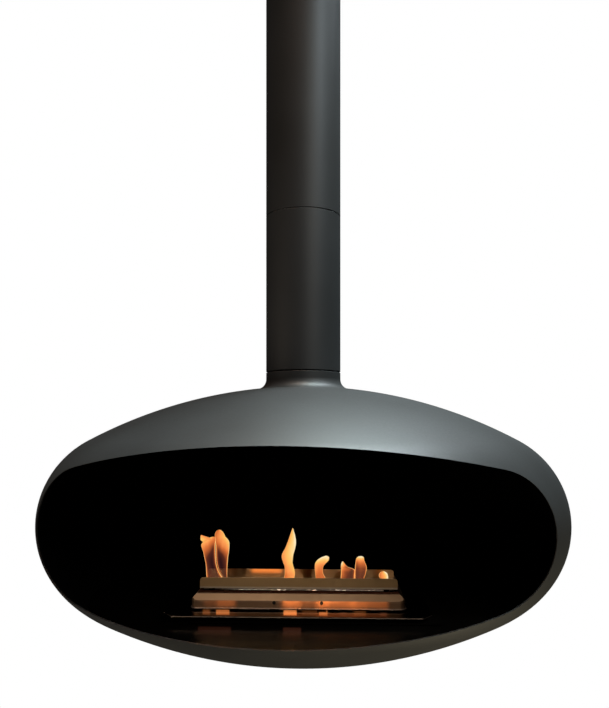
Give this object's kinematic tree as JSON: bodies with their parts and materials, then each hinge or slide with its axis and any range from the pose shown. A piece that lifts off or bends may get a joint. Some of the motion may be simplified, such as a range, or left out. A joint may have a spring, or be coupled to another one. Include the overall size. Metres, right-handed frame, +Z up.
{
  "type": "hanging fireplace",
  "caption": "Flattened round steel pod with a wide front mouth, hung from a ceiling pole on a swivel, with a lift-out liquid-fuel burner closed by a sliding shutter.",
  "frame": {"origin": "centre of the ceiling plate's top face, where it meets the ceiling", "axes": "+Z up along the pole, -Y out of the mouth, +X to the right of someone who looks into the mouth"},
  "size_m": [0.9, 0.8359, 1.379],
  "materials": {
    "graphite_paint": "matt graphite powder coat, fine-textured",
    "black_paint": "heat-resisting soot-black paint, satin",
    "polished_steel": "stainless steel, satin polished, mirrors the flames",
    "brushed_steel": "stainless steel, as rolled",
    "zinc_plated_steel": "zinc plated",
    "bearing_steel": "ground bearing steel",
    "bronze": "machined bronze",
    "ceramic_wool": "felted ceramic fibre"
  },
  "bodies": {
    "mast": {"ceiling_plate": "graphite_paint", "ceiling_spigot": "graphite_paint", "spigot_screws": "zinc_plated_steel", "upper_pole": "graphite_paint", "joint_sleeve": "zinc_plated_steel", "joint_screws": "graphite_paint", "lower_pole": "graphite_paint", "bearing_plate": "zinc_plated_steel", "spindle_bush": "bronze", "lower_bearing_washer": "bearing_steel"},
    "cover": {"ceiling_cover": "graphite_paint", "cover_collar": "graphite_paint", "cover_grub_screws": "zinc_plated_steel"},
    "cage": {"bearing_cage": "bronze", "bearing_balls": "bearing_steel"},
    "pod": {"upper_bearing_washer": "bearing_steel", "spindle_nut": "zinc_plated_steel", "spindle_lock_nut": "zinc_plated_steel", "swivel_spindle": "zinc_plated_steel", "neck_hub_plate": "graphite_paint", "pod_upper_shell": "graphite_paint", "pod_lower_shell": "graphite_paint", "hearth_brackets": "black_paint", "hearth_plate": "black_paint", "hearth_screws": "black_paint", "heat_shield": "black_paint"},
    "burner": {"burner_base_plate": "polished_steel", "burner_feet": "brushed_steel", "fuel_reservoir": "brushed_steel", "ceramic_wool": "ceramic_wool", "wool_retainer": "brushed_steel", "deck_clips": "black_paint", "burner_deck": "polished_steel", "deck_screws": "black_paint", "guard_spacers": "brushed_steel", "flame_guard": "polished_steel", "guard_screws": "zinc_plated_steel"},
    "shutter": {"shutter": "brushed_steel", "shutter_pull_tab": "brushed_steel", "tab_rivets": "zinc_plated_steel"}
  },
  "joints": [
    {"name": "pod_swivel", "type": "hinge", "parent": "mast", "child": "pod", "pos_m": [0, 0, -0.8875], "axis": [0, 0, 1], "continuous": true},
    {"name": "cage_spin", "type": "hinge", "parent": "mast", "child": "cage", "pos_m": [0, 0, -0.8663], "axis": [0, 0, 1], "continuous": true},
    {"name": "cover_slide", "type": "slide", "parent": "mast", "child": "cover", "axis": [0, 0, -1], "range_m": [0, 0.2]},
    {"name": "burner_lift", "type": "slide", "parent": "pod", "child": "burner", "axis": [0, 0, 1], "range_m": [0, 0.1]},
    {"name": "shutter_slide", "type": "slide", "parent": "burner", "child": "shutter", "axis": [0.0698, -0.9976, 0], "range_m": [0, 0.07]}
  ],
  "couplings": [
    {"joint": "cage_spin", "follows": "pod_swivel", "ratio": 0.5}
  ]
}
